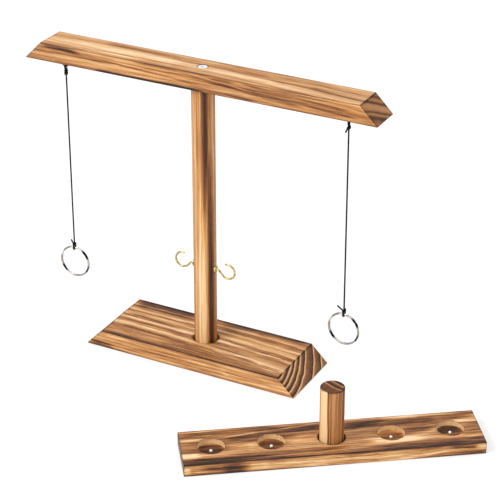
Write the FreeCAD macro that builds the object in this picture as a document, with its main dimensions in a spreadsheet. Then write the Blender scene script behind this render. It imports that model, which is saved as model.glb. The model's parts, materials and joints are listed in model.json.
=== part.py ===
import FreeCAD, Part
import math
import os

import Sketcher

# Tabletop hook-and-ring swing game with a scoring ladder, in millimetres.
# Origin: post axis on the underside of the base block. +X along the crossbeam,
# +Z up, the ladder board lies in front of the stand (-Y) on the +X side.

os.makedirs("parts", exist_ok=True)
doc = FreeCAD.newDocument("ring_swing_game")

SIZES = {
    # base block and crossbeam: softwood boards with 45 degree end bevels
    "board_thickness": 18,
    "edge_round": 0.6,
    "base_length": 230.5,
    "base_width": 74,
    "beam_length": 366.5,
    "beam_width": 34,
    "beam_underside": 284,
    # post: 7/8 inch dowel standing loosely in a wider blind socket
    "post_diameter": 22.2,
    "socket_diameter": 26.4,
    "socket_depth": 8,
    # countersunk M5 socket screws and the brass inserts that they enter
    "screw_head": 9.2,
    "screw_land": 0.3,
    "screw_diameter": 4.9,
    "screw_tip_chamfer": 0.7,
    "screw_clearance": 5.5,
    "countersink": 10.4,
    "screw_sink": 0.3,
    "hex_flats": 3,
    "hex_depth": 2.5,
    "top_screw_length": 25,
    "bottom_screw_length": 20,
    "insert_diameter": 7.5,
    "insert_bore": 5,
    "insert_length": 13,
    "insert_chamfer": 0.4,
    # screw eyes under the beam
    "eye_outer": 9.8,
    "eye_wire": 1.8,
    "eye_stem": 15.4,
    "eye_counterbore": 10.4,
    "eye_counterbore_depth": 3.2,
    "left_eye_offset": 149,
    "right_eye_offset": 147.5,
    "left_eye_drop": 5.4,
    "right_eye_drop": 2.2,
    # brass cup hooks on the post, and their collars
    "hook_wire": 2.1,
    "hook_thread": 2.4,
    "hook_thread_length": 8,
    "hook_neck": 14.1,
    "hook_bend": 1.8,
    "hook_bowl_reach": 24.7,
    "hook_bowl_rise": 0.4,
    "hook_bowl_radius": 7.5,
    "hook_tip": 2,
    "hook_tip_slope": 10,
    "left_hook_height": 98,
    "right_hook_height": 96,
    "collar_diameter": 7,
    "collar_thickness": 2.2,
    "collar_gap": 0.02,
    # cords, their loops and knots
    "cord_diameter": 1.5,
    "cord_gap": 0.3,
    "eye_loop_radius": 1.95,
    "ring_loop_radius": 2.4,
    "loop_foot_radius": 0.95,
    "upper_knot_radius": 1.8,
    "left_upper_knot_height": 267.1,
    "left_upper_knot_length": 4.5,
    "left_eye_loop_length": 2.2,
    "right_upper_knot_height": 270.2,
    "right_upper_knot_length": 1.2,
    "right_eye_loop_length": 5.2,
    "lower_knot_radius": 1.75,
    "lower_knot_rise": 3.7,
    "ring_loop_length": 2.8,
    # split rings: two turns of flattened wire side by side
    "ring_diameter": 33,
    "ring_wire_depth": 1.7,
    "ring_wire_width": 1.05,
    "ring_wire_corner": 0.3,
    "ring_height": 66.3,
    "left_ring_turn": 0,
    "right_ring_turn": -4.5,
    # scoring ladder, its tacks and the marker peg
    "ladder_length": 273.5,
    "ladder_width": 55,
    "ladder_thickness": 12,
    "ladder_reach": 182.2,
    "ladder_setback": -97.1,
    "ladder_turn": 35.5,
    "recess_diameter": 25.4,
    "recess_depth": 5.5,
    "recess_pitch": 54.7,
    "recess_count": 5,
    "tack_head": 3.2,
    "tack_wall": 0.6,
    "tack_pin": 1,
    "tack_pin_length": 4,
    "peg_diameter": 22.4,
    "peg_length": 58.5,
    "peg_chamfer": 0.5,
    "peg_foot_bore": 5.5,
    "peg_foot_depth": 4,
}

sheet = doc.addObject("Spreadsheet::Sheet", "Sizes")
for row, (alias, number) in enumerate(SIZES.items(), start=1):
    sheet.set("A%d" % row, alias)
    sheet.set("B%d" % row, str(number))
    sheet.setAlias("B%d" % row, alias)
doc.recompute()

pieces = []
SIDES = ("left", "right")
OUTWARD = {"left": -1, "right": 1}


# ---------------------------------------------------------------- helpers

def value(expression):
    """Number that an expression of the Sizes sheet gives."""
    return float(sheet.evalExpression(expression))


def new_body(label):
    body = doc.addObject("PartDesign::Body", label)
    body.Label = label
    return body


def keep(piece, label):
    """Names a finished sub-part, which gives its file its name."""
    piece.Label = label
    pieces.append(piece)
    return piece


def new_sketch(body, role, lift="0", shift="0"):
    """Sketch on one of the body's origin planes, lifted along its normal and shifted along its X."""
    sketch = body.newObject("Sketcher::SketchObject", body.Name + "_sketch")
    plane = next(item for item in body.Origin.OriginFeatures if item.Role == role)
    sketch.AttachmentSupport = [(plane, "")]
    sketch.MapMode = "FlatFace"
    sketch.setExpression("AttachmentOffset.Base.z", lift)
    sketch.setExpression("AttachmentOffset.Base.x", shift)
    return sketch


def tie_point(sketch, geometry, vertex, across, up):
    """Ties a sketch point to the two expressions that give its place."""
    for kind, axis, expression in (("DistanceX", -2, across), ("DistanceY", -1, up)):
        if expression == "0":
            sketch.addConstraint(Sketcher.Constraint("PointOnObject", geometry, vertex, axis))
            continue
        rule = Sketcher.Constraint(kind, -1, 1, geometry, vertex, value(expression))
        index = sketch.addConstraint(rule)
        sketch.setExpression("Constraints[%d]" % index, expression)


def tie_size(sketch, kind, geometry, expression):
    """Ties a radius or a line's length to an expression."""
    index = sketch.addConstraint(Sketcher.Constraint(kind, geometry, value(expression)))
    sketch.setExpression("Constraints[%d]" % index, expression)


def outline(sketch, corners):
    """Closed straight-sided outline through corners given as pairs of expressions."""
    points = [FreeCAD.Vector(value(across), value(up), 0) for across, up in corners]
    count = len(points)
    for index in range(count):
        sketch.addGeometry(Part.LineSegment(points[index], points[(index + 1) % count]))
    for index in range(count):
        rule = Sketcher.Constraint("Coincident", index, 2, (index + 1) % count, 1)
        sketch.addConstraint(rule)
        tie_point(sketch, index, 1, *corners[index])


def disc(sketch, across, up, radius):
    """Circle whose centre and radius are expressions."""
    centre = FreeCAD.Vector(value(across), value(up), 0)
    circle = Part.Circle(centre, FreeCAD.Vector(0, 0, 1), value(radius))
    index = sketch.addGeometry(circle)
    tie_point(sketch, index, 3, across, up)
    tie_size(sketch, "Radius", index, radius)


def pad(body, sketch, length, both_ways=False):
    feature = body.newObject("PartDesign::Pad", body.Name + "_pad")
    feature.Profile = sketch
    feature.Midplane = both_ways
    feature.setExpression("Length", length)
    doc.recompute()
    return feature


def cut(body, kind, sketch, settings):
    """Pocket or groove; stops if it takes nothing off the body."""
    before = body.Shape.Volume
    feature = body.newObject("PartDesign::" + kind, body.Name + "_" + kind.lower())
    feature.Profile = sketch
    for name, setting in settings.items():
        if isinstance(setting, str):
            feature.setExpression(name, setting)
        else:
            setattr(feature, name, setting)
    doc.recompute()
    if body.Shape.Volume > before - 1e-6:
        raise RuntimeError(feature.Name + " cuts nothing")
    return feature


def turned(body, corners, axis="V_Axis", role="XZ_Plane", shift="0"):
    """Body of revolution from a half section."""
    sketch = new_sketch(body, role, shift=shift)
    outline(sketch, corners)
    feature = body.newObject("PartDesign::Revolution", body.Name + "_turned")
    feature.Profile = sketch
    feature.ReferenceAxis = (sketch, [axis])
    feature.Angle = 360
    doc.recompute()
    return feature


def round_all_edges(body, base, radius):
    feature = body.newObject("PartDesign::Fillet", body.Name + "_rounding")
    names = ["Edge%d" % (index + 1) for index in range(len(base.Shape.Edges))]
    feature.Base = (base, names)
    feature.setExpression("Radius", radius)
    doc.recompute()
    return feature


def swept(body, path, section, edge_count):
    """Round bar along a path sketch, checked against section area times length."""
    feature = body.newObject("PartDesign::AdditivePipe", body.Name + "_swept")
    feature.Profile = section
    feature.Spine = (path, ["Edge%d" % (index + 1) for index in range(edge_count)])
    feature.Mode = "Frenet"
    doc.recompute()
    expected = path.Shape.Length * Part.Face(Part.Wire(section.Shape.Edges)).Area
    print("%s: path %.2f mm, volume %.2f, section x length %.2f"
          % (body.Name, path.Shape.Length, feature.Shape.Volume, expected))
    return feature


def stand_at(piece, across="0", depth="0", height="0", turn="0"):
    """Places a sub-part; turn is about the vertical."""
    piece.Placement = FreeCAD.Placement(FreeCAD.Vector(), FreeCAD.Rotation(FreeCAD.Vector(0, 0, 1), 1))
    piece.setExpression("Placement.Rotation.Angle", turn)
    piece.setExpression("Placement.Base.x", across)
    piece.setExpression("Placement.Base.y", depth)
    piece.setExpression("Placement.Base.z", height)


def side_x(side):
    """X of the eye, cord and ring on one side."""
    return "%d * Sizes.%s_eye_offset" % (OUTWARD[side], side)


# ---------------------------------------------------------------- stand

def bevelled_board(body, length, width):
    """Board with 45 degree ends, long face down, all edges eased."""
    sketch = new_sketch(body, "XZ_Plane")
    foot = "%s / 2" % length
    top = "(%s / 2 - Sizes.board_thickness)" % length
    outline(sketch, [
        ("-%s" % foot, "0"),
        (foot, "0"),
        (top, "Sizes.board_thickness"),
        ("-%s" % top, "Sizes.board_thickness"),
    ])
    block = pad(body, sketch, width, both_ways=True)
    round_all_edges(body, block, "Sizes.edge_round")


def make_base():
    """Base block: wide blind socket above, countersunk screw hole below."""
    body = new_body("base_block")
    bevelled_board(body, "Sizes.base_length", "Sizes.base_width")
    sketch = new_sketch(body, "XZ_Plane")
    floor = "Sizes.board_thickness - Sizes.socket_depth"
    outline(sketch, [
        ("0", "0"),
        ("Sizes.countersink / 2", "0"),
        ("Sizes.screw_clearance / 2", "(Sizes.countersink - Sizes.screw_clearance) / 2"),
        ("Sizes.screw_clearance / 2", floor),
        ("Sizes.socket_diameter / 2", floor),
        ("Sizes.socket_diameter / 2", "Sizes.board_thickness"),
        ("0", "Sizes.board_thickness"),
    ])
    cut(body, "Groove", sketch, {"ReferenceAxis": (sketch, ["V_Axis"]), "Angle": 360.0})
    keep(body, "base_block")


def make_beam():
    """Crossbeam: screw hole in the middle, a pilot hole for each screw eye."""
    body = new_body("crossbeam")
    bevelled_board(body, "Sizes.beam_length", "Sizes.beam_width")
    sketch = new_sketch(body, "XZ_Plane")
    cone = "(Sizes.countersink - Sizes.screw_clearance) / 2"
    outline(sketch, [
        ("0", "0"),
        ("Sizes.screw_clearance / 2", "0"),
        ("Sizes.screw_clearance / 2", "Sizes.board_thickness - " + cone),
        ("Sizes.countersink / 2", "Sizes.board_thickness"),
        ("0", "Sizes.board_thickness"),
    ])
    cut(body, "Groove", sketch, {"ReferenceAxis": (sketch, ["V_Axis"]), "Angle": 360.0})
    for side in SIDES:
        pilot = new_sketch(body, "XY_Plane")
        disc(pilot, side_x(side), "0", "Sizes.eye_wire / 2")
        depth = "Sizes.eye_stem - Sizes.%s_eye_drop" % side
        cut(body, "Pocket", pilot, {"Reversed": True, "Length": depth})
    # the right eye is screwed in further, its ring half sunk in a counterbore
    seat = new_sketch(body, "XY_Plane")
    disc(seat, side_x("right"), "0", "Sizes.eye_counterbore / 2")
    cut(body, "Pocket", seat, {"Reversed": True, "Length": "Sizes.eye_counterbore_depth"})
    stand_at(body, height="Sizes.beam_underside")
    keep(body, "crossbeam")


def make_post():
    """Post: a bore for an insert in each end, a pilot hole for each hook."""
    body = new_body("post")
    foot = "(Sizes.board_thickness - Sizes.socket_depth)"
    length = "(Sizes.beam_underside - %s)" % foot
    turned(body, [
        ("Sizes.insert_diameter / 2", "0"),
        ("Sizes.post_diameter / 2", "0"),
        ("Sizes.post_diameter / 2", length),
        ("Sizes.insert_diameter / 2", length),
        ("Sizes.insert_diameter / 2", length + " - Sizes.insert_length"),
        ("0", length + " - Sizes.insert_length"),
        ("0", "Sizes.insert_length"),
        ("Sizes.insert_diameter / 2", "Sizes.insert_length"),
    ])
    hole_end = "(Sizes.post_diameter / 2 - Sizes.hook_thread_length)"
    for side in SIDES:
        pilot = new_sketch(body, "YZ_Plane", lift="%d * %s" % (OUTWARD[side], hole_end))
        disc(pilot, "0", "Sizes.%s_hook_height - %s" % (side, foot), "Sizes.hook_thread / 2")
        cut(body, "Pocket", pilot, {"Reversed": side == "right", "Length": "Sizes.post_diameter / 2"})
    stand_at(body, height=foot)
    keep(body, "post")


def make_screw(label, length, height, upside_down):
    """Countersunk socket screw, its head's face at its own origin, pointing down."""
    body = new_body(label)
    cone = "(Sizes.screw_head - Sizes.screw_diameter) / 2"
    turned(body, [
        ("0", "-" + length),
        ("Sizes.screw_diameter / 2 - Sizes.screw_tip_chamfer", "-" + length),
        ("Sizes.screw_diameter / 2", "Sizes.screw_tip_chamfer - " + length),
        ("Sizes.screw_diameter / 2", "-Sizes.screw_land - " + cone),
        ("Sizes.screw_head / 2", "-Sizes.screw_land"),
        ("Sizes.screw_head / 2", "0"),
        ("0", "0"),
    ])
    socket = new_sketch(body, "XY_Plane")
    corner = "Sizes.hex_flats / sqrt(3)"
    outline(socket, [
        ("Sizes.hex_flats / 2", "-%s / 2" % corner),
        ("Sizes.hex_flats / 2", "%s / 2" % corner),
        ("0", corner),
        ("-Sizes.hex_flats / 2", "%s / 2" % corner),
        ("-Sizes.hex_flats / 2", "-%s / 2" % corner),
        ("0", "-" + corner),
    ])
    cut(body, "Pocket", socket, {"Length": "Sizes.hex_depth"})
    axis = FreeCAD.Vector(1, 0, 0)
    angle = 180 if upside_down else 0
    body.Placement = FreeCAD.Placement(FreeCAD.Vector(), FreeCAD.Rotation(axis, angle))
    body.setExpression("Placement.Base.z", height)
    keep(body, label)


def make_insert(label, height):
    """Threaded insert, a plain sleeve with its mouths chamfered."""
    body = new_body(label)
    turned(body, [
        ("Sizes.insert_bore / 2", "Sizes.insert_chamfer"),
        ("Sizes.insert_bore / 2 + Sizes.insert_chamfer", "0"),
        ("Sizes.insert_diameter / 2", "0"),
        ("Sizes.insert_diameter / 2", "Sizes.insert_length"),
        ("Sizes.insert_bore / 2 + Sizes.insert_chamfer", "Sizes.insert_length"),
        ("Sizes.insert_bore / 2", "Sizes.insert_length - Sizes.insert_chamfer"),
    ])
    stand_at(body, height=height)
    keep(body, label)


# ---------------------------------------------------------------- eyes and hooks

def make_screw_eye(side):
    """Screw eye: closed wire ring in the XZ plane with a stem up into the beam."""
    label = side + "_screw_eye"
    body = new_body(label)
    ring_radius = "(Sizes.eye_outer - Sizes.eye_wire) / 2"
    section = new_sketch(body, "XY_Plane")
    disc(section, ring_radius, "0", "Sizes.eye_wire / 2")
    ring = body.newObject("PartDesign::Revolution", label + "_ring")
    ring.Profile = section
    ring.ReferenceAxis = (section, ["V_Axis"])
    ring.Angle = 360
    doc.recompute()
    stem = new_sketch(body, "XY_Plane", lift=ring_radius)
    disc(stem, "0", "0", "Sizes.eye_wire / 2")
    pad(body, stem, "Sizes.eye_stem - " + ring_radius)
    stand_at(body, side_x(side), height="Sizes.beam_underside - Sizes.%s_eye_drop" % side)
    keep(body, label)


def hook_path(sketch):
    """Neck, small bend, slope, round bowl and short tip, each tangent to the next."""
    start = value("Sizes.post_diameter / 2 - Sizes.hook_wire / 2")
    neck = value("Sizes.hook_neck")
    bend = value("Sizes.hook_bend")
    reach = value("Sizes.hook_bowl_reach")
    rise = value("Sizes.hook_bowl_rise")
    bowl = value("Sizes.hook_bowl_radius")
    tip = value("Sizes.hook_tip")
    slope = math.radians(value("Sizes.hook_tip_slope"))
    # the slope runs down at the angle fall, tangent to the bend and to the bowl
    spread = math.hypot(reach - neck, rise + bend)
    fall = math.asin((bowl + bend) / spread) - math.atan2(rise + bend, reach - neck)
    up = FreeCAD.Vector(0, 0, 1)
    bend_centre = FreeCAD.Vector(neck, -bend, 0)
    bowl_centre = FreeCAD.Vector(reach, rise, 0)
    side_way = FreeCAD.Vector(math.sin(fall), math.cos(fall), 0)
    slope_start = bend_centre + side_way * bend
    slope_end = bowl_centre - side_way * bowl
    tip_start = bowl_centre + FreeCAD.Vector(-math.sin(slope), math.cos(slope), 0) * bowl
    tip_end = tip_start - FreeCAD.Vector(math.cos(slope), math.sin(slope), 0) * tip
    bend_circle = Part.Circle(bend_centre, up, bend)
    bowl_circle = Part.Circle(bowl_centre, up, bowl)
    quarter = math.pi / 2
    neck_line = sketch.addGeometry(Part.LineSegment(FreeCAD.Vector(start, 0, 0), FreeCAD.Vector(neck, 0, 0)))
    bend_arc = sketch.addGeometry(Part.ArcOfCircle(bend_circle, quarter - fall, quarter))
    slope_line = sketch.addGeometry(Part.LineSegment(slope_start, slope_end))
    bowl_arc = sketch.addGeometry(Part.ArcOfCircle(bowl_circle, -quarter - fall, quarter + slope))
    tip_line = sketch.addGeometry(Part.LineSegment(tip_start, tip_end))
    tie_point(sketch, neck_line, 1, "Sizes.post_diameter / 2 - Sizes.hook_wire / 2", "0")
    tie_point(sketch, neck_line, 2, "Sizes.hook_neck", "0")
    tie_size(sketch, "Radius", bend_arc, "Sizes.hook_bend")
    tie_size(sketch, "Radius", bowl_arc, "Sizes.hook_bowl_radius")
    tie_point(sketch, bowl_arc, 3, "Sizes.hook_bowl_reach", "Sizes.hook_bowl_rise")
    tie_size(sketch, "Distance", tip_line, "Sizes.hook_tip")
    joins = (
        (neck_line, 2, bend_arc, 2),
        (bend_arc, 1, slope_line, 1),
        (slope_line, 2, bowl_arc, 1),
        (bowl_arc, 2, tip_line, 1),
    )
    for first, first_end, second, second_end in joins:
        sketch.addConstraint(Sketcher.Constraint("Tangent", first, first_end, second, second_end))
    index = sketch.addConstraint(Sketcher.Constraint("Angle", -1, 1, tip_line, 2, slope))
    sketch.setExpression("Constraints[%d]" % index, "Sizes.hook_tip_slope")


def make_hook(side):
    """Cup hook: thread in the post, wire hook outside it in the XZ plane."""
    label = side + "_cup_hook"
    body = new_body(label)
    path = new_sketch(body, "XZ_Plane")
    hook_path(path)
    section = new_sketch(body, "YZ_Plane", lift="Sizes.post_diameter / 2 - Sizes.hook_wire / 2")
    disc(section, "0", "0", "Sizes.hook_wire / 2")
    swept(body, path, section, 5)
    thread = new_sketch(body, "YZ_Plane", lift="Sizes.post_diameter / 2 - Sizes.hook_thread_length")
    disc(thread, "0", "0", "Sizes.hook_thread / 2")
    pad(body, thread, "Sizes.hook_thread_length")
    stand_at(body, height="Sizes.%s_hook_height" % side, turn="180" if side == "left" else "0")
    keep(body, label)


def make_collar(side):
    """Collar of a cup hook, a low dome pressed on the wire against the post."""
    label = side + "_hook_collar"
    body = new_body(label)
    turned(body, [
        ("0", "Sizes.hook_wire / 2"),
        ("0", "Sizes.collar_diameter / 2"),
        ("Sizes.collar_thickness * 0.45", "Sizes.collar_diameter / 2"),
        ("Sizes.collar_thickness * 0.85", "Sizes.collar_diameter * 0.42"),
        ("Sizes.collar_thickness", "Sizes.collar_diameter * 0.3"),
        ("Sizes.collar_thickness", "Sizes.hook_wire / 2"),
    ], axis="H_Axis")
    seat = "%d * (Sizes.post_diameter / 2 + Sizes.collar_gap)" % OUTWARD[side]
    stand_at(body, seat, height="Sizes.%s_hook_height" % side, turn="180" if side == "left" else "0")
    keep(body, label)


# ---------------------------------------------------------------- cords and rings

def loop_path(sketch, radius, foot_radius, length):
    """Closed drop shape: a large arc about the origin and a small one at length below it."""
    large = value(radius)
    small = value(foot_radius)
    drop = value(length)
    lean = math.asin((large - small) / drop)
    up = FreeCAD.Vector(0, 0, 1)
    large_circle = Part.Circle(FreeCAD.Vector(), up, large)
    small_circle = Part.Circle(FreeCAD.Vector(0, -drop, 0), up, small)

    def at(circle, angle):
        return circle.value(angle % (2 * math.pi))

    crown = sketch.addGeometry(Part.ArcOfCircle(large_circle, 0, math.pi + lean))
    left_leg = sketch.addGeometry(Part.LineSegment(
        at(large_circle, math.pi + lean), at(small_circle, math.pi + lean)))
    foot = sketch.addGeometry(Part.ArcOfCircle(small_circle, math.pi + lean, 2 * math.pi - lean))
    right_leg = sketch.addGeometry(Part.LineSegment(
        at(small_circle, -lean), at(large_circle, -lean)))
    shoulder = sketch.addGeometry(Part.ArcOfCircle(large_circle, -lean, 0))
    tie_point(sketch, crown, 3, "0", "0")
    tie_size(sketch, "Radius", crown, radius)
    tie_point(sketch, foot, 3, "0", "-" + length)
    tie_size(sketch, "Radius", foot, foot_radius)
    joins = (
        (crown, 2, left_leg, 1),
        (left_leg, 2, foot, 1),
        (foot, 2, right_leg, 1),
        (right_leg, 2, shoulder, 1),
        (shoulder, 2, crown, 1),
    )
    for first, first_end, second, second_end in joins:
        sketch.addConstraint(Sketcher.Constraint("Tangent", first, first_end, second, second_end))
    sketch.addConstraint(Sketcher.Constraint("PointOnObject", shoulder, 2, -1))


def make_loop(label, knot, side, radius, length, height, turn="0", upward=False):
    """Cord loop in the YZ plane round a wire at the origin; the knot is cut out of its foot."""
    body = new_body(label + "_tube")
    path = new_sketch(body, "YZ_Plane")
    loop_path(path, radius, "Sizes.loop_foot_radius", length)
    section = new_sketch(body, "XY_Plane")
    disc(section, "0", radius, "Sizes.cord_diameter / 2")
    swept(body, path, section, 5)
    stand_at(body, side_x(side), height=height, turn=turn)
    if upward:
        yaw = FreeCAD.Rotation(FreeCAD.Vector(0, 0, 1), value(turn))
        flip = FreeCAD.Rotation(FreeCAD.Vector(1, 0, 0), 180)
        body.setExpression("Placement.Rotation.Angle", None)
        body.Placement.Rotation = yaw * flip
    trimmed = doc.addObject("Part::Cut", label)
    trimmed.Base = body
    trimmed.Tool = knot
    keep(trimmed, label)
    print("%s: arc radii %.2f and %.2f mm" % (label, value(radius), value("Sizes.loop_foot_radius")))


def make_knot(label, side, radius, height, length="0", tail=None, turn="0"):
    """Knot: a round-ended bar standing on its lower centre, with a short tail of cord."""
    lumps = []
    for index, rise in enumerate(("0", length)):
        if index and length == "0":
            continue
        ball = doc.addObject("Part::Sphere", "%s_ball_%d" % (label, index))
        ball.setExpression("Radius", radius)
        ball.setExpression("Placement.Base.z", rise)
        lumps.append(ball)
    if length != "0":
        barrel = doc.addObject("Part::Cylinder", label + "_barrel")
        barrel.setExpression("Radius", radius)
        barrel.setExpression("Height", length)
        lumps.append(barrel)
    if tail:
        end = doc.addObject("Part::Cylinder", label + "_tail")
        end.setExpression("Radius", "Sizes.cord_diameter / 2")
        end.Height = tail["length"]
        lean = FreeCAD.Rotation(FreeCAD.Vector(0, 1, 0), tail["lean"])
        end.Placement = FreeCAD.Placement(FreeCAD.Vector(*tail["root"]), lean)
        lumps.append(end)
    if len(lumps) == 1:
        knot = lumps[0]
    else:
        knot = doc.addObject("Part::MultiFuse", label)
        knot.Shapes = lumps
    stand_at(knot, side_x(side), height=height, turn=turn)
    return keep(knot, label)


def make_cord(side, low, high):
    """Straight cord between the two knots, a small gap short of each."""
    label = side + "_cord"
    cord = doc.addObject("Part::Cylinder", label)
    cord.setExpression("Radius", "Sizes.cord_diameter / 2")
    cord.setExpression("Height", "%s - (%s)" % (high, low))
    stand_at(cord, side_x(side), height=low)
    keep(cord, label)
    doc.recompute()
    print("%s: straight, %.2f mm long" % (label, cord.Height.Value))


def make_ring(side, turn):
    """Split ring in the XZ plane: two flat wire turns side by side, with a groove between them."""
    label = side + "_ring"
    body = new_body(label)
    outer = "Sizes.ring_diameter / 2"
    inner = "(Sizes.ring_diameter / 2 - Sizes.ring_wire_depth)"
    corner = "Sizes.ring_wire_corner"
    width = "Sizes.ring_wire_width"
    turned(body, [
        (outer, corner),
        (outer, "%s - %s" % (width, corner)),
        ("%s - %s" % (outer, corner), width),
        ("%s + %s" % (inner, corner), width),
        (inner, "%s - %s" % (width, corner)),
        (inner, corner),
        ("%s + %s" % (inner, corner), "0"),
        (inner, "-" + corner),
        (inner, "%s - %s" % (corner, width)),
        ("%s + %s" % (inner, corner), "-" + width),
        ("%s - %s" % (outer, corner), "-" + width),
        (outer, "%s - %s" % (corner, width)),
        (outer, "-" + corner),
        ("%s - %s" % (outer, corner), "0"),
    ], role="XY_Plane")
    stand_at(body, side_x(side), height="Sizes.ring_height", turn=turn)
    keep(body, label)


# short ends of cord that stick out of three of the knots: root from the knot's
# lower centre, length, and lean from straight up about +Y
TAILS = {
    "right_upper_knot": {"root": (-1.3, 0, -0.6), "length": 4.8, "lean": 180 + 24.4},
    "left_lower_knot": {"root": (0, 0, 0), "length": 4.8, "lean": -49.6},
    "right_lower_knot": {"root": (0, 0, 0), "length": 7.4, "lean": -65.5},
}


def make_line(side):
    """Everything that hangs from one screw eye."""
    turn = "Sizes.%s_ring_turn" % side
    eye_wire = "Sizes.beam_underside - Sizes.%s_eye_drop - (Sizes.eye_outer - Sizes.eye_wire) / 2" % side
    ring_wire = "Sizes.ring_height + (Sizes.ring_diameter - Sizes.ring_wire_depth) / 2"
    upper_height = "Sizes.%s_upper_knot_height" % side
    lower_height = ring_wire + " + Sizes.lower_knot_rise"
    upper = make_knot(
        side + "_upper_knot", side, "Sizes.upper_knot_radius", upper_height,
        length="Sizes.%s_upper_knot_length" % side, tail=TAILS.get(side + "_upper_knot"))
    make_loop(
        side + "_eye_loop", upper, side, "Sizes.eye_loop_radius",
        "Sizes.%s_eye_loop_length" % side, eye_wire)
    make_cord(
        side,
        lower_height + " + Sizes.lower_knot_radius + Sizes.cord_gap",
        upper_height + " - Sizes.upper_knot_radius - Sizes.cord_gap")
    lower = make_knot(
        side + "_lower_knot", side, "Sizes.lower_knot_radius", lower_height,
        tail=TAILS.get(side + "_lower_knot"), turn=turn)
    make_loop(
        side + "_ring_loop", lower, side, "Sizes.ring_loop_radius",
        "Sizes.ring_loop_length", ring_wire, turn=turn, upward=True)
    make_ring(side, turn)


# ---------------------------------------------------------------- scoring ladder

def repeat_along(body, features):
    """Repeats features once per recess along the ladder."""
    row = body.newObject("PartDesign::LinearPattern", body.Name + "_row")
    row.Originals = features
    row.Direction = (next(i for i in body.Origin.OriginFeatures if i.Role == "X_Axis"), [""])
    row.setExpression("Length", "(Sizes.recess_count - 1) * Sizes.recess_pitch")
    row.setExpression("Occurrences", "Sizes.recess_count")
    body.Tip = row
    doc.recompute()


FIRST_RECESS = "-(Sizes.recess_count - 1) / 2 * Sizes.recess_pitch"
RECESS_FLOOR = "(Sizes.ladder_thickness - Sizes.recess_depth)"


def on_ladder(piece, height="0"):
    stand_at(piece, "Sizes.ladder_reach", "Sizes.ladder_setback", height, "Sizes.ladder_turn")


def make_ladder():
    """Ladder board: a row of flat-bottomed recesses, each with a tack hole in its floor."""
    body = new_body("ladder_board")
    sketch = new_sketch(body, "XY_Plane")
    half_length = "Sizes.ladder_length / 2"
    half_width = "Sizes.ladder_width / 2"
    outline(sketch, [
        ("-" + half_length, "-" + half_width),
        (half_length, "-" + half_width),
        (half_length, half_width),
        ("-" + half_length, half_width),
    ])
    block = pad(body, sketch, "Sizes.ladder_thickness")
    round_all_edges(body, block, "Sizes.edge_round")
    recess = new_sketch(body, "XY_Plane", lift="Sizes.ladder_thickness")
    disc(recess, FIRST_RECESS, "0", "Sizes.recess_diameter / 2")
    bowl = cut(body, "Pocket", recess, {"Length": "Sizes.recess_depth"})
    pin_hole = new_sketch(body, "XY_Plane", lift="Sizes.ladder_thickness")
    disc(pin_hole, FIRST_RECESS, "0", "Sizes.tack_pin / 2")
    hole = cut(body, "Pocket", pin_hole, {"Length": "Sizes.recess_depth + Sizes.tack_pin_length"})
    repeat_along(body, [bowl, hole])
    on_ladder(body)
    keep(body, "ladder_board")


def make_tacks():
    """Dome-headed tacks, one in the middle of each recess floor."""
    body = new_body("recess_tacks")
    body.AllowCompound = True
    head = "Sizes.tack_head / 2"
    dome = [("%s * cos(%d)" % (head, angle), "Sizes.tack_wall + %s * sin(%d)" % (head, angle))
            for angle in (0, 22, 45, 67)]
    tack = turned(body, [
        ("0", "-Sizes.tack_pin_length"),
        ("Sizes.tack_pin / 2", "-Sizes.tack_pin_length"),
        ("Sizes.tack_pin / 2", "0"),
        (head, "0"),
        *dome,
        ("0", "Sizes.tack_wall + " + head),
    ], shift=FIRST_RECESS)
    repeat_along(body, [tack])
    on_ladder(body, RECESS_FLOOR)
    keep(body, "recess_tacks")


def make_peg():
    """Marker peg, standing in the middle recess; its foot is bored to clear the tack."""
    body = new_body("marker_peg")
    radius = "Sizes.peg_diameter / 2"
    turned(body, [
        ("Sizes.peg_foot_bore / 2", "0"),
        (radius, "0"),
        (radius, "Sizes.peg_length - Sizes.peg_chamfer"),
        (radius + " - Sizes.peg_chamfer", "Sizes.peg_length"),
        ("0", "Sizes.peg_length"),
        ("0", "Sizes.peg_foot_depth"),
        ("Sizes.peg_foot_bore / 2", "Sizes.peg_foot_depth"),
    ])
    on_ladder(body, RECESS_FLOOR)
    keep(body, "marker_peg")


# ---------------------------------------------------------------- build and export

make_base()
make_post()
make_beam()
make_screw("top_screw", "Sizes.top_screw_length",
           "Sizes.beam_underside + Sizes.board_thickness - Sizes.screw_sink", upside_down=False)
make_screw("bottom_screw", "Sizes.bottom_screw_length", "Sizes.screw_sink", upside_down=True)
make_insert("top_insert", "Sizes.beam_underside - Sizes.insert_length")
make_insert("bottom_insert", "Sizes.board_thickness - Sizes.socket_depth")
for side in SIDES:
    make_screw_eye(side)
    make_hook(side)
    make_collar(side)
    make_line(side)
make_ladder()
make_tacks()
make_peg()
doc.recompute()

for item in doc.Objects:
    faults = [state for state in item.State if state in ("Invalid", "Error")]
    if faults:
        raise RuntimeError("%s is %s" % (item.Label, ", ".join(faults)))
for piece in pieces:
    if piece.Shape.isNull() or not piece.Shape.isValid():
        raise RuntimeError(piece.Label + " has no valid shape")
for piece in pieces:
    box = piece.Shape.BoundBox
    print("%-18s solids %d  volume %10.2f  x %8.2f %8.2f  y %8.2f %8.2f  z %7.2f %7.2f" % (
        piece.Label, len(piece.Shape.Solids), piece.Shape.Volume,
        box.XMin, box.XMax, box.YMin, box.YMax, box.ZMin, box.ZMax))
    piece.Shape.exportStep("parts/%s.step" % piece.Label)
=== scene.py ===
import json
from functools import reduce
from math import asin, atan2, cos, hypot, pi, radians, sin, sqrt
from types import SimpleNamespace as Spec

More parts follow.
